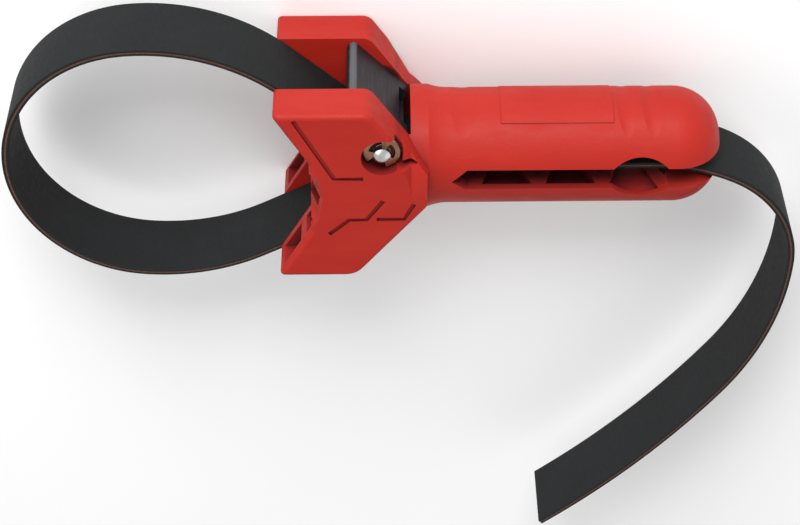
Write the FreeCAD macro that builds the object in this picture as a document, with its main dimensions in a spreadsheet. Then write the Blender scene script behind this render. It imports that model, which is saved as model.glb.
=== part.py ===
"""Strap wrench: moulded V-jaw handle, cam-locked laminated belt, pivot pin, clip and spring.

Frame: millimetres, +Z up. The wrench lies on its side. The origin is on the resting face
of the head, under the axis of the grip. +X runs along the grip to its rear end and +Y
towards the back of the cam, so the belt's loop lies on the -X side.
"""
import FreeCAD, Part
import math
import os
from FreeCAD import Vector
import Sketcher

doc = FreeCAD.newDocument("StrapWrench")

# ---------------------------------------------------------------- driving dimensions
DIMENSIONS = [
    ("head_width", 61.0),        # across both cheeks
    ("cheek_wide", 15.7),        # one cheek
    ("head_half", 37.0),         # half the height of the jaws
    ("tip_place", -25.6),        # x of the jaw tips
    ("throat_place", -12.9),     # x of the flat at the bottom of the V
    ("jaw_angle", 60.0),         # of each V face from the grip's axis
    ("slant_angle", 56.0),       # of the upper back face
    ("slant_start", 8.5),        # x where it leaves the end of the jaws
    ("low_slant_angle", 51.5),   # of the lower back face
    ("low_slant_start", 3.0),
    ("collar_radius", 22.3),     # turned collar between the head and the grip
    ("collar_end", 29.4),
    ("wall_place", 23.0),        # x of the wall behind the cam
    ("grip_radius", 21.0),
    ("grip_end", 135.3),         # x of the rear end
    ("end_radius", 17.0),
    ("slot_low", -4.0),
    ("slot_high", 4.5),
    ("slot_start", 37.5),
    ("belt_width", 28.6),
    ("belt_thick", 2.6),
    ("core_thick", 0.6),
    ("loop_radius", 50.6),       # to the middle of the belt
    ("loop_place", -71.5),
    ("loop_height", 1.6),
    ("run_height", 1.0),         # y of the belt inside the grip
    ("pivot_place", 12.7),
    ("pivot_height", 18.3),
    ("pin_radius", 3.0),
    ("recess_radius", 7.4),
    ("recess_deep", 4.4),        # of the clip's recess
    ("head_deep", 2.6),          # of the recess for the pin's flat head
    ("lobe_radius", 9.5),
    ("line_deep", 0.9),          # of the lines in the cheeks' faces
    ("clip_radius", 6.4),
    ("clip_thick", 0.8),
    ("rod_radius", 2.0),
    ("wire_radius", 0.45),
    ("coil_radius", 3.8),
]
sheet = doc.addObject("Spreadsheet::Sheet", "Sizes")
for line, (alias, value) in enumerate(DIMENSIONS, start=1):
    sheet.set("A%d" % line, alias)
    sheet.set("B%d" % line, str(value))
    sheet.setAlias("B%d" % line, alias)
doc.recompute()


def size(alias):
    """Value of one driving dimension."""
    return float(sheet.get(alias))


HEAD = size("head_width")
MIDDLE = HEAD / 2
HALF = size("head_half")
GRIP = size("grip_radius")
PIVOT = (size("pivot_place"), size("pivot_height"))
BELT = size("belt_thick")
BELT_LOW = MIDDLE - size("belt_width") / 2


# ---------------------------------------------------------------- sketch helpers
def turned(origin, length, degrees):
    """Point at a length and an angle from an origin, in a sketch's plane."""
    angle = math.radians(degrees)
    return (origin[0] + length * math.cos(angle), origin[1] + length * math.sin(angle))


def new_body(label):
    """Empty PartDesign body whose label names the sub-part."""
    body = doc.addObject("PartDesign::Body", label)
    body.Label = label
    return body


def new_sketch(body, name, role, offset):
    """Sketch on one of the body's origin planes, at an offset given as an expression."""
    sketch = body.newObject("Sketcher::SketchObject", name)
    plane = [item for item in body.Origin.OriginFeatures if item.Role == role][0]
    sketch.AttachmentSupport = (plane, "")
    sketch.MapMode = "FlatFace"
    sketch.setExpression("AttachmentOffset.Base.z", offset)
    return sketch


def add_outline(sketch, points):
    """Closed outline: straight to each point, or an arc through (mid, end) pairs."""
    here = points[0]
    for item in list(points[1:]) + [points[0]]:
        if isinstance(item[0], tuple):
            middle, end = item
            ends = [Vector(*here, 0), Vector(*middle, 0), Vector(*end, 0)]
            sketch.addGeometry(Part.Arc(*ends), False)
        else:
            end = item
            sketch.addGeometry(Part.LineSegment(Vector(*here, 0), Vector(*end, 0)), False)
        here = end


def add_circle(sketch, centre, radius):
    """Circle whose radius is bound to an expression."""
    circle = Part.Circle(Vector(*centre, 0), Vector(0, 0, 1), 1.0)
    index = sketch.addGeometry(circle, False)
    row = sketch.addConstraint(Sketcher.Constraint("Radius", index, 1.0))
    sketch.setExpression("Constraints[%d]" % row, radius)


def pad(body, sketch, length, reverse=False):
    """Pad of a sketch, with its length bound to an expression."""
    feature = body.newObject("PartDesign::Pad", sketch.Name + "Pad")
    feature.Profile = sketch
    feature.setExpression("Length", length)
    feature.Reversed = reverse
    sketch.Visibility = False
    return feature


def pocket(body, sketch, length):
    """Pocket that runs from the sketch against its normal."""
    feature = body.newObject("PartDesign::Pocket", sketch.Name + "Pocket")
    feature.Profile = sketch
    feature.setExpression("Length", length)
    sketch.Visibility = False
    return feature


def edges_where(feature, test):
    """Names of a feature's edges whose two ends and middle all pass a test."""
    doc.recompute()
    names = []
    for number, edge in enumerate(feature.Shape.Edges, start=1):
        low, high = edge.FirstParameter, edge.LastParameter
        points = [edge.valueAt(low), edge.valueAt((low + high) / 2), edge.valueAt(high)]
        if all(test(point) for point in points):
            names.append("Edge%d" % number)
    return names


def round_edges(body, name, base, radius, test):
    """Fillet of the base feature's edges that pass a test."""
    feature = body.newObject("PartDesign::Fillet", name)
    feature.Base = (base, edges_where(base, test))
    feature.Radius = radius
    return feature


def strip(points, width):
    """Outline of a thin band of even width along a bent line."""
    left, right = [], []
    for index, point in enumerate(points):
        before = points[max(index - 1, 0)]
        after = points[min(index + 1, len(points) - 1)]
        angle = math.degrees(math.atan2(after[1] - before[1], after[0] - before[0]))
        left.append(turned(point, width / 2, angle + 90))
        right.append(turned(point, width / 2, angle - 90))
    return left + right[::-1]


# ---------------------------------------------------------------- handle and head
def head_outline():
    """Side view of the head: V jaws in front, slanted faces behind, down to the collar."""
    tip = size("tip_place")
    throat = size("throat_place")
    rise = (throat - tip) * math.tan(math.radians(size("jaw_angle")))
    back, low_back, end = size("slant_start"), size("low_slant_start"), size("collar_end")
    high = HALF - (end - back) * math.tan(math.radians(size("slant_angle")))
    low = (end - low_back) * math.tan(math.radians(size("low_slant_angle"))) - HALF
    upper = [(throat, HALF - rise), (tip, HALF), (back, HALF), (end, high)]
    return upper + [(end, low), (low_back, -HALF), (tip, -HALF), (throat, rise - HALF)]


def grip_outline():
    """Half section of the collar, its hollow and the round grip with its rounded rear end."""
    collar, shoulder = size("collar_radius"), size("collar_end")
    end = size("grip_end")
    bend = size("end_radius")
    centre = (end - bend, GRIP - bend)
    rear = [(end - bend, GRIP), (turned(centre, bend, 45), (end, GRIP - bend)), (end, 0.0)]
    hollow = ((shoulder + 3.4, GRIP + 0.35), (shoulder + 7.4, GRIP))
    return [(12.0, 0.0), (12.0, collar), (shoulder, collar), hollow] + rear


def heel_outline():
    """Half section of what is turned off the back of the head, down to the collar."""
    collar, shoulder = size("collar_radius"), size("collar_end")
    steep = [(shoulder, collar), (shoulder - 1.0, collar + 8), (shoulder - 7, collar + 26)]
    return steep + [(shoulder + 3, collar + 26), (shoulder + 3, collar)]


def brow_outline():
    """Half section, from an axis below the grip's, that eases the upper corners at the back."""
    return [(32.5, 27.7), (24.0, 30.9), (23.0, 31.3), (8.0, 54.7), (8.0, 64.0), (32.5, 64.0)]


def scoop_outlines():
    """Shallow finger scoops across the top of the grip, from an axis below the grip's."""
    outlines = []
    for middle, half in ((42.0, 5.6), (100.2, 4.2), (109.4, 4.2)):
        bottom, rim = 23.25, 24.3
        outlines.append([(middle - half, rim), ((middle, bottom), (middle + half, rim)),
                         (middle + half, 30.0), (middle - half, 30.0)])
    return outlines


def mouth_outline():
    """What is chamfered off the bottom of the V, on the outer side of each cheek."""
    lower = [(-30.0, -20.7), (-16.2, -20.7), (-10.0, -9.5), (-8.2, 0.5)]
    return lower + [(-9.7, 9.0), (-13.6, 11.6), (-30.0, 11.6)]


def anvil_height(place):
    """Height of the slope that the belt runs down, under the cam."""
    return 27.9 - (place + 17.7) * math.tan(math.radians(42))


ROD = (4.4, -16.6)


def panel_outline():
    """Half section of the blank label panel, which stands slightly proud of the grip."""
    return [(55.0, GRIP - 1.0), (55.0, GRIP + 0.1), (55.4, GRIP + 0.35), (95.1, GRIP + 0.35),
            (95.5, GRIP + 0.1), (95.5, GRIP - 1.0)]


def gap_outline():
    """Space between the cheeks: cam chamber, belt slope, throat and the belt's anchor."""
    wall = size("wall_place")
    low, high = size("slot_low"), size("slot_high")
    web = -4.0
    cam_side = [(-45.0, 55.0), (wall, 55.0), (wall, high), (44.0, high), (44.0, low), (24.0, low)]
    slope = [(15.5, -1.6), (13.3, anvil_height(13.3)), (web, anvil_height(web))]
    anchor = [(web, -18.0), ROD, (7.4, -20.6), (4.0, -24.5), (-0.5, -55.0), (-45.0, -55.0)]
    return cam_side + slope + anchor


def slot_outline():
    """Slot along the grip, open at the rear, with a finger cut-out each side of the belt."""
    start = size("slot_start")
    low, high = size("slot_low"), size("slot_high")
    rear = size("grip_end") + 5
    bottom = [(start, -0.5), (start + 5, low), (95.5, low), ((105.5, -8.2), (115.5, low))]
    mouth = [(126.0, low), (rear, -9.0), (rear, high)]
    top = [(115.0, high), ((105.2, 8.8), (95.4, high)), (start + 5.5, high)]
    return bottom + mouth + top


def jaw_hollows():
    """Moulding hollows that open in the V faces: low and high edge, and the place of the end."""
    spans = [(-33.0, -21.8, -11.5), (-18.4, -11.8, -5.0), (-5.6, -1.2, -3.5)]
    spans += [(12.6, 18.4, -5.0), (21.8, 33.0, -11.5)]
    return [[(-32.0, low), (end, low), (end, high), (-32.0, high)] for low, high, end in spans]


def face_lines():
    """Shallow lines moulded in the outer face of each cheek."""
    panel = [(-17.6, 35.0), (-4.1, 9.2), (6.0, 9.2)]
    front_step = [(-6.4, -16.4), (0.8, -9.7), (7.0, -9.7), (13.0, -1.0)]
    rear_step = [(10.6, -9.5), (20.4, -9.5), (24.0, -2.6)]
    return [panel, front_step, rear_step]


def rib_triangles():
    """Hollows between the zigzag ribs of the lower arm, in plan."""
    step = 11.5
    triangles = []
    for number in range(7):
        middle = 46.0 + number * step
        side, deep = (1, 17.8) if number % 2 else (-1, 16.5)
        base = MIDDLE + side * deep
        point = MIDDLE - side * 13.0
        triangles.append([(middle - step + 2.6, base), (middle + step - 2.6, base), (middle, point)])
    return triangles


def near_corner(corner):
    """Test for points on the upright edge at a corner of the head's outline."""
    return lambda point: math.dist((point.x, point.y), corner) < 0.01


def on_outer_face(point):
    """Test for points on either cheek's outer face."""
    return abs(point.z) < 0.01 or abs(point.z - HEAD) < 0.01


def turn_about(body, kind, name, outlines, drop):
    """Turned feature about an axis along the grip, a drop below the grip's own axis."""
    sketch = new_sketch(body, name, "XY_Plane", "Sizes.head_width / 2")
    sketch.setExpression("AttachmentOffset.Base.y", "-%s" % drop)
    for outline in outlines:
        add_outline(sketch, outline)
    feature = body.newObject(kind, name + "Turned")
    feature.Profile = sketch
    feature.ReferenceAxis = (sketch, ["H_Axis"])
    feature.Angle = 360.0
    return feature


def make_handle():
    """Handle: one moulding with two cheeks and a split round grip."""
    body = new_body("handle_body")
    head = new_sketch(body, "Head", "XY_Plane", "0")
    add_outline(head, head_outline())
    block = pad(body, head, "Sizes.head_width")
    corners = head_outline()
    for name, corner, radius in (("UpperBack", corners[2], 5.0), ("LowerBack", corners[5], 8.0),
                                 ("UpperThroat", corners[0], 3.0), ("LowerThroat", corners[7], 3.0),
                                 ("UpperTip", corners[1], 1.2), ("LowerTip", corners[6], 1.2)):
        block = round_edges(body, name, block, radius, near_corner(corner))
    round_edges(body, "SideRim", block, 2.0, on_outer_face)

    turn_about(body, "PartDesign::Revolution", "Grip", [grip_outline()], 0)
    turn_about(body, "PartDesign::Groove", "Heel", [heel_outline()], 0)
    turn_about(body, "PartDesign::Groove", "Brow", [brow_outline()], 5.5)

    panel = turn_about(body, "PartDesign::Revolution", "LabelPanel", [panel_outline()], 0)
    panel.Midplane = True
    panel.Angle = 62.0
    turn_about(body, "PartDesign::Groove", "Scoops", scoop_outlines(), 3.1)

    for name, level in (("Near", "Sizes.head_width"), ("Far", "0")):
        mouth = new_sketch(body, name + "Mouth", "XY_Plane", level)
        add_outline(mouth, mouth_outline())
        chamfer = pocket(body, mouth, "Sizes.cheek_wide")
        chamfer.TaperAngle = -17.0
        chamfer.Reversed = name == "Far"

    gap = new_sketch(body, "Gap", "XY_Plane", "Sizes.head_width - Sizes.cheek_wide")
    add_outline(gap, gap_outline())
    pocket(body, gap, "Sizes.head_width - 2 * Sizes.cheek_wide")

    socket = new_sketch(body, "RodSocket", "XY_Plane", "Sizes.head_width - Sizes.cheek_wide")
    add_circle(socket, ROD, "Sizes.rod_radius + Sizes.belt_thick + 0.4")
    pocket(body, socket, "Sizes.head_width - 2 * Sizes.cheek_wide")

    slot = new_sketch(body, "Slot", "XY_Plane", "Sizes.head_width")
    add_outline(slot, slot_outline())
    pocket(body, slot, "Sizes.head_width")

    ribs = new_sketch(body, "Ribs", "XZ_Plane", "8.7")
    for triangle in rib_triangles():
        add_outline(ribs, triangle)
    pocket(body, ribs, "8.7 + Sizes.slot_low")

    levels = (("Near", "Sizes.head_width - 3"), ("Far", "Sizes.cheek_wide - 3"))
    for name, level in levels:
        hollows = new_sketch(body, name + "Hollows", "XY_Plane", level)
        for outline in jaw_hollows():
            add_outline(hollows, outline)
        pocket(body, hollows, "Sizes.cheek_wide - 6")

    bore = new_sketch(body, "PinBore", "XY_Plane", "Sizes.head_width")
    add_circle(bore, PIVOT, "Sizes.pin_radius + 0.03")
    pocket(body, bore, "Sizes.head_width")
    recesses = (("Near", "Sizes.head_width", "Sizes.recess_deep"),
                ("Far", "Sizes.head_deep", "Sizes.head_deep"))
    for name, level, deep in recesses:
        recess = new_sketch(body, name + "Recess", "XY_Plane", level)
        add_circle(recess, PIVOT, "Sizes.recess_radius")
        pocket(body, recess, deep)
    moat = new_sketch(body, "Moat", "XY_Plane", "Sizes.head_width")
    add_circle(moat, PIVOT, "Sizes.recess_radius")
    add_circle(moat, PIVOT, "Sizes.pin_radius + 1.4")
    pocket(body, moat, "Sizes.recess_deep + 2")
    notch = new_sketch(body, "Notch", "XY_Plane", "Sizes.head_width")
    add_outline(notch, [(17.4, 13.2), (26.4, 11.2), (19.4, 16.6)])
    pocket(body, notch, "9")

    for name, level in (("Near", "Sizes.head_width"), ("Far", "Sizes.line_deep")):
        lines = new_sketch(body, name + "Lines", "XY_Plane", level)
        for line in face_lines():
            add_outline(lines, strip(line, 1.7))
        pocket(body, lines, "Sizes.line_deep")
    return body


# ---------------------------------------------------------------- cam and its pivot
def cam_outline():
    """Cam: long nose for the thumb, round gripping lobe round the pivot."""
    brow = ((0.8, 34.3), (2.3, 35.6))
    nose = ((3.1, 35.8), (3.9, 35.3))
    heel = turned(PIVOT, size("lobe_radius"), -25)
    low = turned(PIVOT, size("lobe_radius"), -105)
    front = turned(PIVOT, size("lobe_radius"), 185)
    return [(0.4, 31.8), brow, nose, (21.8, 16.6), heel, (low, front)]


def make_cam():
    """Cam, hollowed behind the lobe so that its spring sits round the pin."""
    body = new_body("locking_cam")
    outline = new_sketch(body, "CamOutline", "XY_Plane", "Sizes.head_width - Sizes.cheek_wide - 0.3")
    add_outline(outline, cam_outline())
    pad(body, outline, "Sizes.head_width - 2 * Sizes.cheek_wide - 0.6", reverse=True)
    hollow = new_sketch(body, "CamHollow", "XY_Plane", "Sizes.head_width / 2 + 9.5")
    add_outline(hollow, [(8.1, 13.0), (30.0, 13.0), (30.0, 19.5), (17.4, 19.5), (16.2, 21.7), (13.5, 23.4),
                         (8.1, 23.4)])
    pocket(body, hollow, "19")
    bore = new_sketch(body, "CamBore", "XY_Plane", "Sizes.head_width")
    add_circle(bore, PIVOT, "Sizes.pin_radius + 0.06")
    pocket(body, bore, "Sizes.head_width")
    return body


def make_pin():
    """Pivot pin: flat head in the far recess, clip groove and domed end in the near one."""
    body = new_body("cam_pivot_pin")
    shank = size("pin_radius")
    floor = HEAD - size("recess_deep")
    groove = (floor + 0.05, floor + 0.05 + size("clip_thick") + 0.05)
    top = HEAD - 0.2
    profile = new_sketch(body, "PinProfile", "XZ_Plane", "-Sizes.pivot_height")
    x = PIVOT[0]
    rise = 1.2
    dome_radius = (shank ** 2 + rise ** 2) / (2 * rise)
    dome_half = math.degrees(math.asin(shank / dome_radius)) / 2
    dome = (turned((x, top - dome_radius), dome_radius, 90 - dome_half), (x, top))
    points = [(x, 0.5), (x + 5.6, 0.5), (x + 5.6, 2.55), (x + shank, 2.55), (x + shank, groove[0])]
    points += [(x + 2.3, groove[0]), (x + 2.3, groove[1]), (x + shank, groove[1])]
    points += [(x + shank, top - rise), dome]
    add_outline(profile, points)
    axis = body.newObject("PartDesign::Line", "PinAxis")
    axis.AttachmentSupport = [(profile, "")]
    axis.MapMode = "ObjectY"
    axis.AttachmentOffset = FreeCAD.Placement(Vector(x, 0, 0), FreeCAD.Rotation())
    turned_pin = body.newObject("PartDesign::Revolution", "PinTurned")
    turned_pin.Profile = profile
    turned_pin.ReferenceAxis = (axis, [""])
    turned_pin.Angle = 360.0
    return body


def make_clip():
    """E-clip: ring open on one side, with three prongs in the pin's groove."""
    body = new_body("retaining_clip")
    outer = size("clip_radius")
    inner = outer - 1.7
    prong = 2.36
    opening = 250.0
    points = [turned(PIVOT, outer, opening + 32)]
    points.append((turned(PIVOT, outer, opening + 180), turned(PIVOT, outer, opening - 32)))
    for middle in (opening - 55, opening - 180, opening - 305):
        points.append(turned(PIVOT, prong, middle + 14))
        points.append((turned(PIVOT, prong, middle), turned(PIVOT, prong, middle - 14)))
        if middle > opening - 305:
            points.append(turned(PIVOT, inner, middle - 21))
            points.append((turned(PIVOT, inner, middle - 62.5), turned(PIVOT, inner, middle - 104)))
    outline = new_sketch(body, "ClipOutline", "XY_Plane", "Sizes.head_width - Sizes.recess_deep + 0.08")
    add_outline(outline, points)
    pad(body, outline, "Sizes.clip_thick")
    return body


def make_spring():
    """Torsion spring round the pin: half turns that climb by half a pitch each, and two legs."""
    wire = size("wire_radius")
    radius = size("coil_radius")
    pitch = 1.15
    half_turns = 10
    base = MIDDLE - pitch * half_turns / 4
    pieces = []
    for number in range(half_turns):
        side = 1 if number % 2 == 0 else -1
        level = base + number * pitch / 2
        start = Vector(PIVOT[0] + side * radius, PIVOT[1], level)
        corners = [turned((start.x, start.z), wire, 45 * step) for step in range(9)]
        section = Part.Face(Part.makePolygon([Vector(x, start.y, z) for x, z in corners]))
        centre = Vector(PIVOT[0], PIVOT[1], level + pitch / 4)
        pieces.append(section.revolve(centre, Vector(side * pitch / 2, 0, 2 * radius), 180))
    foot = Vector(PIVOT[0] + radius, PIVOT[1], base)
    top = foot + Vector(0, 0, half_turns * pitch / 2)
    pieces.append(Part.makeCylinder(wire, 3.6, foot, Vector(0, -1, 0)))
    pieces.append(Part.makeCylinder(wire, 1.7, top, Vector(0, 1, 0)))
    feature = doc.addObject("Part::Feature", "cam_spring")
    feature.Label = "cam_spring"
    feature.Shape = pieces[0].fuse(pieces[1:])
    return feature


# ---------------------------------------------------------------- belt
class BeltPath:
    """Line of straight runs and tangent arcs, walked from its start."""

    def __init__(self, start, heading):
        self.here = start
        self.heading = heading
        self.edges = []

    def run(self, length):
        end = turned(self.here, length, self.heading)
        self.edges.append(Part.LineSegment(Vector(*self.here, 0), Vector(*end, 0)).toShape())
        self.here = end

    def bend(self, radius, turn):
        """Arc of a radius; a positive turn goes to the left."""
        side = 90 if turn > 0 else -90
        centre = turned(self.here, radius, self.heading + side)
        back = self.heading - side
        middle = turned(centre, radius, back + turn / 2)
        end = turned(centre, radius, back + turn)
        points = [Vector(*self.here, 0), Vector(*middle, 0), Vector(*end, 0)]
        self.edges.append(Part.Arc(*points).toShape())
        self.here = end
        self.heading += turn


TAIL_BENDS = ((68.0, 26.5), (46.5, 63.0), (127.0, 33.0), (372.0, 16.0))
UPPER_HEADING = 42.0
LOWER_HEADING = 28.0


def belt_line(shift):
    """Line of the belt, moved sideways by a shift towards the outside of its loop.

    It runs from the rod in the head, round the loop, under the cam and along the grip to
    the free end.
    """
    centre = (size("loop_place"), size("loop_height"))
    loop = size("loop_radius")
    lower_blend, upper_blend = 78.6, 72.0
    lower_centre = turned(centre, loop - lower_blend, -95)
    foot = turned(lower_centre, lower_blend + shift, LOWER_HEADING - 90)
    rod_side = turned(ROD, size("rod_radius") + BELT / 2 + 0.1 + shift, LOWER_HEADING - 90)
    path = BeltPath(rod_side, LOWER_HEADING + 180)
    path.run(math.dist(rod_side, foot))
    path.bend(lower_blend + shift, -(95 - 90 + LOWER_HEADING))
    path.bend(loop + shift, -170)
    path.bend(upper_blend + shift, -(95 - 90 + UPPER_HEADING))
    corner_bend = 14.0
    turn = math.radians(UPPER_HEADING)
    level = size("run_height") + corner_bend - (corner_bend - shift) * math.cos(turn)
    path.run((path.here[1] - level) / math.sin(turn))
    path.bend(corner_bend - shift, UPPER_HEADING)
    path.run(110.2 - path.here[0])
    for radius, angle in TAIL_BENDS:
        path.bend(radius + shift, -angle)
    return path


def belt_face(inside, outside):
    """Side view of one layer of the belt, between two shifts."""
    inner = belt_line(inside)
    outer = belt_line(outside)
    hem = []
    for shift, sense in ((inside, 1), (outside, -1)):
        radius = size("rod_radius") + BELT / 2 + 0.1 + shift
        angles = [LOWER_HEADING - 90, LOWER_HEADING + 55, LOWER_HEADING + 200]
        points = [Vector(*turned(ROD, radius, angle), 0) for angle in angles]
        hem.append(Part.Arc(*points).toShape())
    ends = [edge.Vertexes[-1].Point for edge in hem]
    close_hem = Part.LineSegment(ends[0], ends[1]).toShape()
    close_tail = Part.LineSegment(Vector(*inner.here, 0), Vector(*outer.here, 0)).toShape()
    edges = inner.edges + outer.edges + hem + [close_hem, close_tail]
    wire = Part.Wire(Part.__sortEdges__(edges))
    return Part.Face(wire)


def make_belt_layer(label, inside, outside):
    """One layer of the laminated belt."""
    solid = belt_face(inside, outside).extrude(Vector(0, 0, size("belt_width")))
    feature = doc.addObject("Part::Feature", label)
    feature.Label = label
    feature.Shape = solid
    feature.Placement = FreeCAD.Placement(Vector(0, 0, BELT_LOW), FreeCAD.Rotation())
    return feature


def make_rod():
    """Steel rod that the belt's fixed end is hemmed round."""
    rod = doc.addObject("Part::Cylinder", "strap_anchor_rod")
    rod.Label = "strap_anchor_rod"
    rod.setExpression("Radius", "Sizes.rod_radius")
    rod.setExpression("Height", "Sizes.belt_width + 0.4")
    rod.Placement = FreeCAD.Placement(Vector(ROD[0], ROD[1], BELT_LOW - 0.2), FreeCAD.Rotation())
    return rod


# ---------------------------------------------------------------- build and write
core = size("core_thick") / 2
parts = [
    make_handle(),
    make_cam(),
    make_pin(),
    make_clip(),
    make_spring(),
    make_belt_layer("strap_inner_cover", -BELT / 2, -core),
    make_belt_layer("strap_core", -core, core),
    make_belt_layer("strap_outer_cover", core, BELT / 2),
    make_rod(),
]
doc.recompute()

for item in doc.Objects:
    if "Invalid" in item.State or "Error" in item.State:
        raise RuntimeError("%s did not compute: %s" % (item.Label, item.State))
os.makedirs("parts", exist_ok=True)
for item in parts:
    if item.Shape.isNull() or not item.Shape.isValid():
        raise RuntimeError("%s has no valid shape" % item.Label)
    item.Shape.exportStep("parts/%s.step" % item.Label)
    box = item.Shape.BoundBox
    print("%-20s %9.1f mm3  %d solid  x %.1f..%.1f  y %.1f..%.1f  z %.1f..%.1f" % (
        item.Label, item.Shape.Volume, len(item.Shape.Solids),
        box.XMin, box.XMax, box.YMin, box.YMax, box.ZMin, box.ZMax))
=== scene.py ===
"""Looks of the strap wrench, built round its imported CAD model."""

import math

import bpy
from mathutils import Matrix, Vector


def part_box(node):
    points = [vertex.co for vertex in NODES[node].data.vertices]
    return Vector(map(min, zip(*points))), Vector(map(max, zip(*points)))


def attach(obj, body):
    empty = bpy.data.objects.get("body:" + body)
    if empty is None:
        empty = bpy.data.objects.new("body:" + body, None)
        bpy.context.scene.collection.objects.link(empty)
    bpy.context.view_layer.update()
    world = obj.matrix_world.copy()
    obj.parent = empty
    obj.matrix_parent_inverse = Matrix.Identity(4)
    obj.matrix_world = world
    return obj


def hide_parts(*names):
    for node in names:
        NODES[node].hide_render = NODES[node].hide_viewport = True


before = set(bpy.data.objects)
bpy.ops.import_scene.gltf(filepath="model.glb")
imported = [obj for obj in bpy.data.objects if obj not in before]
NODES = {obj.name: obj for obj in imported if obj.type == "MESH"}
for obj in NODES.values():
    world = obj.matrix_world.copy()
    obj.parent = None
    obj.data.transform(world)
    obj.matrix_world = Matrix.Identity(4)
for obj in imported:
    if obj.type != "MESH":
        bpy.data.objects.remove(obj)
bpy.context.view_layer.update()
MM = 0.001

# ---------------------------------------------------------------- camera
LOOK_DOWN = math.radians(42.15)
LOOK_ASIDE = math.radians(0.701)
CAMERA_PLACE = Vector((12.53, 445.5, 586.6)) * MM
LENS, SENSOR = 87.64, 36.0

back = Vector((-math.sin(LOOK_ASIDE) * math.cos(LOOK_DOWN),
               math.sin(LOOK_DOWN),
               math.cos(LOOK_ASIDE) * math.cos(LOOK_DOWN)))
right = Vector((math.cos(LOOK_ASIDE), 0.0, math.sin(LOOK_ASIDE)))
up = back.cross(right)
turn = Matrix((right, up, back)).transposed()
camera_data = bpy.data.cameras.new("photo_camera")
camera_data.lens = LENS
camera_data.sensor_width = SENSOR
camera_data.clip_start = 0.05
camera = bpy.data.objects.new("photo_camera", camera_data)
bpy.context.scene.collection.objects.link(camera)
camera.matrix_world = Matrix.Translation(CAMERA_PLACE) @ turn.to_4x4()
bpy.context.scene.camera = camera


# ---------------------------------------------------------------- materials
class Shader:
    """A Principled material with helpers that add its nodes."""

    def __init__(self, name, rough=0.5, metallic=0.0, **constants):
        self.material = bpy.data.materials.new(name)
        self.material.use_nodes = True
        self.tree = self.material.node_tree
        self.surface = self.tree.nodes["Principled BSDF"]
        self.surface.inputs["Roughness"].default_value = rough
        self.surface.inputs["Metallic"].default_value = metallic
        for key, value in constants.items():
            self.surface.inputs[key.replace("_", " ")].default_value = value
        self.place = self.add("ShaderNodeTexCoord").outputs["Object"]

    def add(self, kind, **settings):
        node = self.tree.nodes.new(kind)
        for key, value in settings.items():
            setattr(node, key, value)
        return node

    def link(self, source, target):
        self.tree.links.new(source, target)

    def stretched(self, scale, source=None):
        """Coordinates scaled along each axis."""
        mapping = self.add("ShaderNodeMapping")
        mapping.inputs["Scale"].default_value = scale
        self.link(source or self.place, mapping.inputs["Vector"])
        return mapping.outputs["Vector"]

    def noise(self, scale, detail=3.0, rough=0.5, source=None):
        node = self.add("ShaderNodeTexNoise")
        node.inputs["Scale"].default_value = scale
        node.inputs["Detail"].default_value = detail
        node.inputs["Roughness"].default_value = rough
        self.link(source or self.place, node.inputs["Vector"])
        return node.outputs["Fac"]

    def cells(self, scale, source=None):
        node = self.add("ShaderNodeTexVoronoi")
        node.inputs["Scale"].default_value = scale
        self.link(source or self.place, node.inputs["Vector"])
        return node.outputs["Distance"]

    def spread(self, source, low, high, to_low, to_high):
        """Number moved from one range to another."""
        node = self.add("ShaderNodeMapRange")
        node.inputs["From Min"].default_value = low
        node.inputs["From Max"].default_value = high
        node.inputs["To Min"].default_value = to_low
        node.inputs["To Max"].default_value = to_high
        self.link(source, node.inputs["Value"])
        return node.outputs["Result"]

    def math(self, operation, first, second):
        node = self.add("ShaderNodeMath", operation=operation)
        for value, socket in ((first, node.inputs[0]), (second, node.inputs[1])):
            if isinstance(value, (int, float)):
                socket.default_value = value
            else:
                self.link(value, socket)
        return node.outputs["Value"]

    def ramp(self, source, *stops):
        """Colour by a number; each stop is a place and a colour."""
        node = self.add("ShaderNodeValToRGB")
        elements = node.color_ramp.elements
        while len(elements) < len(stops):
            elements.new(0.5)
        for element, (place, colour) in zip(elements, stops):
            element.position = place
            element.color = (*colour, 1.0)
        self.link(source, node.inputs["Fac"])
        return node.outputs["Color"]

    def mix(self, factor, first, second, blend="MIX"):
        node = self.add("ShaderNodeMix", data_type="RGBA", blend_type=blend)
        for value, socket in ((factor, node.inputs[0]), (first, node.inputs[6]),
                              (second, node.inputs[7])):
            if isinstance(value, (int, float)):
                socket.default_value = value
            elif isinstance(value, tuple):
                socket.default_value = (*value, 1.0)
            else:
                self.link(value, socket)
        return node.outputs[2]

    def reach(self, centre):
        """Distance across the plan from a point."""
        shift = self.add("ShaderNodeVectorMath", operation="SUBTRACT")
        shift.inputs[1].default_value = (centre.x, centre.y, 0.0)
        self.link(self.place, shift.inputs[0])
        length = self.add("ShaderNodeVectorMath", operation="LENGTH")
        self.link(self.stretched((1.0, 1.0, 0.0), shift.outputs["Vector"]), length.inputs[0])
        return length.outputs["Value"]

    def colour(self, source):
        self.link(source, self.surface.inputs["Base Color"])

    def roughness(self, source):
        self.link(source, self.surface.inputs["Roughness"])

    def bump(self, source, distance, strength=1.0, under=None):
        node = self.add("ShaderNodeBump")
        node.inputs["Distance"].default_value = distance
        node.inputs["Strength"].default_value = strength
        self.link(source, node.inputs["Height"])
        if under:
            self.link(under, node.inputs["Normal"])
        return node.outputs["Normal"]

    def normal(self, source):
        self.link(source, self.surface.inputs["Normal"])


pin_low, pin_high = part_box("cam_pivot_pin")
PIVOT = (pin_low + pin_high) / 2
RECESS_SHADE_INNER, RECESS_SHADE_OUTER = 0.0062, 0.0073     # where the painted shade in the clip's recess fades out
SHELTER_REACH = 0.020                       # how far a wall shades the corner next to it


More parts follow.
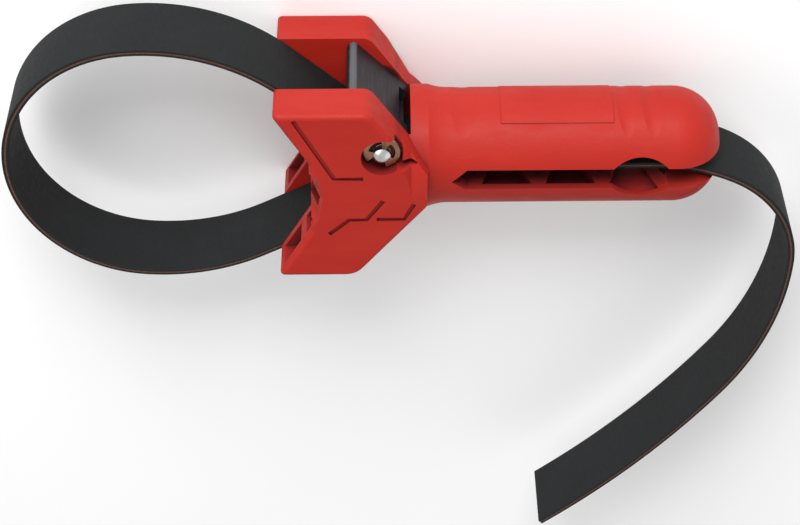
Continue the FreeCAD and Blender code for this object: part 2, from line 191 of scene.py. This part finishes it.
def red_nylon():
    """Textured nylon: flow marks and scuffs, painted shade in sheltered corners and painted shade
    in the recess round the pin.
    """
    look = Shader("red_nylon_moulded", rough=0.55, IOR=1.5, Specular_IOR_Level=0.24)
    flow = look.noise(55.0, detail=4.0, source=look.stretched((0.35, 1.0, 1.0)))
    base = look.ramp(flow, (0.3, (0.37, 0.012, 0.006)), (0.55, (0.39, 0.015, 0.008)),
                     (0.75, (0.43, 0.019, 0.009)))
    fleck = look.spread(look.noise(2600.0, detail=2.0), 0.60, 0.72, 0.0, 0.10)
    flecked = look.mix(fleck, base, (0.50, 0.05, 0.03))
    # Painted shade: the colour darkens towards corners and hollows that walls shelter, where
    # shade falls.
    shelter = look.add("ShaderNodeAmbientOcclusion", samples=8, only_local=True)
    shelter.inputs["Distance"].default_value = SHELTER_REACH
    painted_shade = look.spread(shelter.outputs["AO"], 0.28, 0.86, 0.92, 0.0)
    with_painted_shade = look.mix(painted_shade, flecked, (0.060, 0.008, 0.010))
    # Painted shade: the recess round the pin is darkened in place of its shadow.
    painted_recess_shade = look.spread(look.reach(PIVOT), RECESS_SHADE_INNER, RECESS_SHADE_OUTER, 0.86, 0.0)
    look.colour(look.mix(painted_recess_shade, with_painted_shade, (0.016, 0.006, 0.006)))
    grain = look.cells(1500.0)
    scuff = look.noise(240.0, detail=5.0, source=look.stretched((0.4, 1.0, 1.0)))
    look.roughness(look.spread(scuff, 0.3, 0.7, 0.48, 0.62))
    fine = look.bump(grain, 0.00006, 0.55)
    look.normal(look.bump(look.noise(420.0, detail=4.0), 0.00012, 0.35, under=fine))
    return look.material


NOSE_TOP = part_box("locking_cam")[1].y
# Band at the top of the cam's nose that carries a painted highlight.
HIGHLIGHT_START, HIGHLIGHT_FULL = NOSE_TOP - 0.0009, NOSE_TOP - 0.0005


def black_nylon():
    """Dark satin nylon of the cam: fine grain, faint streaks and a painted highlight along the
    top of the nose.
    """
    look = Shader("black_nylon_satin", rough=0.46, IOR=1.5, Specular_IOR_Level=0.21)
    cloud = look.noise(160.0, detail=4.0)
    base = look.ramp(cloud, (0.3, (0.009, 0.009, 0.012)), (0.7, (0.016, 0.015, 0.019)))
    streak = look.noise(900.0, detail=3.0, source=look.stretched((1.0, 1.0, 0.12)))
    streaked = look.mix(look.spread(streak, 0.58, 0.75, 0.0, 0.3), base, (0.034, 0.033, 0.039))
    # Painted highlight: the top of the nose is made pale, with a ragged lower edge.
    axes = look.add("ShaderNodeSeparateXYZ")
    look.link(look.place, axes.inputs["Vector"])
    ragged = look.math("MULTIPLY", look.math("SUBTRACT", cloud, 0.5), 0.0006)
    height = look.math("ADD", axes.outputs["Y"], ragged)
    painted_nose_highlight = look.spread(height, HIGHLIGHT_START, HIGHLIGHT_FULL, 0.0, 1.0)
    look.colour(look.mix(painted_nose_highlight, streaked, (0.085, 0.085, 0.092)))
    look.roughness(look.spread(streak, 0.3, 0.7, 0.34, 0.5))
    look.normal(look.bump(look.cells(1700.0), 0.00005, 0.5))
    return look.material


def steel(name, colour, rough, ring, grain):
    """Steel with fine turned or drawn lines and slightly uneven plating."""
    look = Shader(name, rough=rough, metallic=1.0)
    cloud = look.noise(350.0, detail=4.0)
    dark = tuple(0.78 * part for part in colour)
    look.colour(look.ramp(cloud, (0.3, dark), (0.6, colour)))
    lines = look.noise(grain, detail=3.0, source=look.stretched(ring))
    look.roughness(look.spread(lines, 0.3, 0.7, rough * 0.75, rough * 1.3))
    look.normal(look.bump(lines, 0.00002, 0.4))
    return look.material


def belt_rubber(name, shade):
    """Matt rubber cover with the fine cross weave of the cloth that it was cured against."""
    look = Shader(name, rough=0.78, IOR=1.45, Specular_IOR_Level=0.22)
    along = look.add("ShaderNodeUVMap", uv_map="along").outputs["UV"]
    cloud = look.noise(38.0, detail=5.0, rough=0.6)
    base = look.ramp(cloud, (0.3, tuple(0.82 * part for part in shade)), (0.7, shade))
    weft = look.add("ShaderNodeTexWave", wave_type="BANDS", bands_direction="X")
    warp = look.add("ShaderNodeTexWave", wave_type="BANDS", bands_direction="Y")
    for wave in (weft, warp):
        wave.inputs["Scale"].default_value = 260.0
        wave.inputs["Distortion"].default_value = 0.6
        wave.inputs["Detail"].default_value = 1.0
        look.link(along, wave.inputs["Vector"])
    weave = look.math("MULTIPLY", weft.outputs["Fac"], warp.outputs["Fac"])
    dust = look.noise(700.0, detail=4.0, source=look.stretched((1.0, 1.0, 0.5)))
    dusty = look.mix(look.spread(dust, 0.55, 0.8, 0.0, 0.25), base, (0.040, 0.042, 0.044))
    look.colour(look.mix(look.spread(weave, 0.0, 1.0, 0.10, 0.0), dusty, (0.007, 0.007, 0.008)))
    look.roughness(look.spread(dust, 0.3, 0.8, 0.70, 0.88))
    fine = look.bump(weave, 0.00008, 0.6)
    look.normal(look.bump(look.noise(1500.0, detail=3.0), 0.00006, 0.5, under=fine))
    return look.material


def belt_core():
    """Brown woven layer, of which only the edge shows."""
    look = Shader("belt_core_weave", rough=0.85)
    thread = look.noise(1300.0, detail=3.0, source=look.stretched((1.0, 1.0, 0.6)))
    look.colour(look.ramp(thread, (0.3, (0.055, 0.020, 0.013)), (0.7, (0.13, 0.052, 0.034))))
    look.roughness(look.spread(thread, 0.3, 0.7, 0.75, 0.92))
    look.normal(look.bump(thread, 0.00010, 0.7))
    return look.material


def dress(name, material):
    """Give a CAD node a material."""
    data = NODES[name].data
    data.materials.clear()
    data.materials.append(material)


# ---------------------------------------------------------------- belt
BELT_LOW, BELT_WIDE = 16.2, 28.6
BELT_THICK, CORE_THICK = 2.6, 0.6
EDGE_INSET = 0.12                           # of the core and of the covers' inner corners
ROD, ROD_RADIUS = (4.4, -16.6), 2.0
UPPER_HEADING, LOWER_HEADING = 42.0, 28.0
LOOP_CENTRE, LOOP_RADIUS = (-71.5, 1.6), 50.6
RUN_HEIGHT, RUN_END = 1.0, 110.2            # straight run inside the grip
TAIL_BENDS = ((68.0, 26.5), (46.5, 63.0), (127.0, 33.0), (372.0, 16.0))


def turned(centre, radius, angle):
    """Point at a radius and an angle in degrees from a centre."""
    turn = math.radians(angle)
    return (centre[0] + radius * math.cos(turn), centre[1] + radius * math.sin(turn))


class BeltLine:
    """Points along straight runs and tangent arcs, with their left-hand normals."""

    def __init__(self, start, heading):
        self.here, self.heading = start, heading
        self.points = [(start, heading)]

    def run(self, length, step=4.0):
        start = self.here
        count = max(1, round(length / step))
        for number in range(1, count + 1):
            self.here = turned(start, length * number / count, self.heading)
            self.points.append((self.here, self.heading))

    def bend(self, radius, angle, step=1.5):
        side = 90 if angle > 0 else -90
        centre = turned(self.here, radius, self.heading + side)
        back_angle = self.heading - side
        count = max(4, round(radius * abs(math.radians(angle)) / step))
        for number in range(1, count + 1):
            part = angle * number / count
            self.here = turned(centre, radius, back_angle + part)
            self.points.append((self.here, self.heading + part))
        self.heading += angle


def belt_line():
    """Middle line of the belt, from its hem on the rod to its free end."""
    lower_blend, upper_blend, corner_bend = 78.6, 72.0, 14.0
    past_loop = 5                           # degrees of blend on each side of the loop's arc
    lower_centre = turned(LOOP_CENTRE, LOOP_RADIUS - lower_blend, -90 - past_loop)
    foot = turned(lower_centre, lower_blend, LOWER_HEADING - 90)
    hem_slack, hem_wrap = 0.1, 290.0
    radius = ROD_RADIUS + BELT_THICK / 2 + hem_slack
    hem_end = LOWER_HEADING + hem_wrap - 90
    line = BeltLine(turned(ROD, radius, hem_end), hem_end - 90)
    line.bend(radius, -hem_wrap, step=0.4)
    line.run(math.dist(line.here, foot))
    line.bend(lower_blend, -(past_loop + LOWER_HEADING))
    line.bend(LOOP_RADIUS, 2 * past_loop - 180)
    line.bend(upper_blend, -(past_loop + UPPER_HEADING))
    turn = math.radians(UPPER_HEADING)
    level = RUN_HEIGHT + corner_bend - corner_bend * math.cos(turn)
    line.run((line.here[1] - level) / math.sin(turn))
    line.bend(corner_bend, UPPER_HEADING)
    line.run(RUN_END - line.here[0])
    for radius, angle in TAIL_BENDS:
        line.bend(radius, -angle)
    return line.points


def belt_layer(name, node, section, material):
    """Sweep a layer's section, as pairs of sideways shift and height in mm, along the belt."""
    rows = []
    travelled = 0.0
    last = None
    for (x, y), heading in belt_line():
        if last:
            travelled += math.dist(last, (x, y))
        last = (x, y)
        aside = (math.cos(math.radians(heading + 90)), math.sin(math.radians(heading + 90)))
        rows.append((travelled, [(x + shift * aside[0], y + shift * aside[1], BELT_LOW + height)
                                 for shift, height in section]))
    count = len(section)
    vertices = [tuple(MM * value for value in point) for _, ring in rows for point in ring]
    faces = []
    for row in range(len(rows) - 1):
        for column in range(count):
            following = (column + 1) % count
            faces.append((row * count + column, row * count + following,
                          (row + 1) * count + following, (row + 1) * count + column))
    last_row = (len(rows) - 1) * count
    faces.append(tuple(reversed(range(count))))
    faces.append(tuple(last_row + column for column in range(count)))
    mesh = bpy.data.meshes.new(name)
    mesh.from_pydata(vertices, [], faces)
    along = mesh.uv_layers.new(name="along")
    for loop in mesh.loops:
        row, column = divmod(loop.vertex_index, count)
        shift, height = section[column]
        along.data[loop.index].uv = (MM * rows[row][0], MM * (height + abs(shift)))
    piece = bpy.data.objects.new(name, mesh)
    bpy.context.scene.collection.objects.link(piece)
    mesh.materials.append(material)
    mesh.polygons.foreach_set("use_smooth", [True] * len(mesh.polygons))
    mesh.set_sharp_from_angle(angle=math.radians(50))
    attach(piece, "body")
    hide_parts(node)
    return piece


def cover_section(inner, outer, round_off=0.45, steps=5):
    """Cover's section: square against the core, rounded on its outer side."""
    sign = 1 if outer > inner else -1
    points = [(inner, EDGE_INSET), (inner, BELT_WIDE - EDGE_INSET)]
    for middle, start in ((BELT_WIDE - round_off, 90), (round_off, 0)):
        for step in range(steps + 1):
            angle = math.radians(start - 90 * step / steps)
            points.append((outer - sign * round_off * (1 - math.cos(angle)),
                           middle + round_off * math.sin(angle)))
    return points if sign < 0 else list(reversed(points))


HALF_CORE, HALF_BELT = CORE_THICK / 2, BELT_THICK / 2
core_section = [(HALF_CORE, EDGE_INSET), (HALF_CORE, BELT_WIDE - EDGE_INSET),
                (-HALF_CORE, BELT_WIDE - EDGE_INSET), (-HALF_CORE, EDGE_INSET)]
belt_layer("belt_inner_cover", "strap_inner_cover", cover_section(-HALF_CORE, -HALF_BELT),
           belt_rubber("belt_rubber_inner", (0.015, 0.016, 0.017)))
belt_layer("belt_core_ply", "strap_core", core_section, belt_core())
belt_layer("belt_outer_cover", "strap_outer_cover", cover_section(HALF_CORE, HALF_BELT),
           belt_rubber("belt_rubber_outer", (0.013, 0.0145, 0.015)))

# ---------------------------------------------------------------- hard parts
dress("handle_body", red_nylon())
dress("locking_cam", black_nylon())
bright = steel("bright_zinc_steel", (0.78, 0.78, 0.77), 0.22, (0.1, 0.1, 1.0), 1500.0)
dress("cam_pivot_pin", bright)
dress("strap_anchor_rod", bright)
dress("retaining_clip",
      steel("bronze_spring_steel", (0.44, 0.24, 0.15), 0.30, (1.0, 1.0, 0.1), 900.0))
dress("cam_spring",
      steel("drawn_wire_steel", (0.40, 0.40, 0.41), 0.34, (1.0, 1.0, 0.2), 1800.0))

# ---------------------------------------------------------------- floor and light
floor_look = Shader("pale_floor", rough=0.9)
floor_look.colour(floor_look.ramp(floor_look.noise(6.0), (0.3, (0.955, 0.955, 0.955)),
                                  (0.7, (0.975, 0.975, 0.975))))
floor_data = bpy.data.meshes.new("studio_floor")
FLOOR = 6.0                                 # half the side of the floor
corners = [(-FLOOR, -FLOOR, 0), (FLOOR, -FLOOR, 0), (FLOOR, FLOOR, 0), (-FLOOR, FLOOR, 0)]
floor_data.from_pydata(corners, [], [(0, 1, 2, 3)])
floor_data.materials.append(floor_look.material)
floor = bpy.data.objects.new("studio_floor", floor_data)
bpy.context.scene.collection.objects.link(floor)


SUBJECT = (0.03, -0.02, 0.03)


def area_light(name, place, size, power):
    """Square soft light that faces the wrench."""
    data = bpy.data.lights.new(name, "AREA")
    data.shape = "SQUARE"
    data.size = size
    data.energy = power
    light = bpy.data.objects.new(name, data)
    bpy.context.scene.collection.objects.link(light)
    light.location = place
    light.rotation_euler = (Vector(SUBJECT) - Vector(place)).to_track_quat("-Z", "Y").to_euler()


area_light("key_light", (-0.15, 1.35, 0.68), 0.8, 21.5)
area_light("fill_light", (-0.8, 0.5, 0.9), 1.2, 4.0)
area_light("rim_light", (1.1, -0.5, 0.8), 1.2, 1.5)
world = bpy.data.worlds.new("studio")
world.use_nodes = True
sky = world.node_tree.nodes["Background"]
sky.inputs["Color"].default_value = (1.0, 1.0, 1.0, 1.0)
sky.inputs["Strength"].default_value = 0.60
bpy.context.scene.world = world
bpy.context.scene.view_settings.view_transform = "Standard"
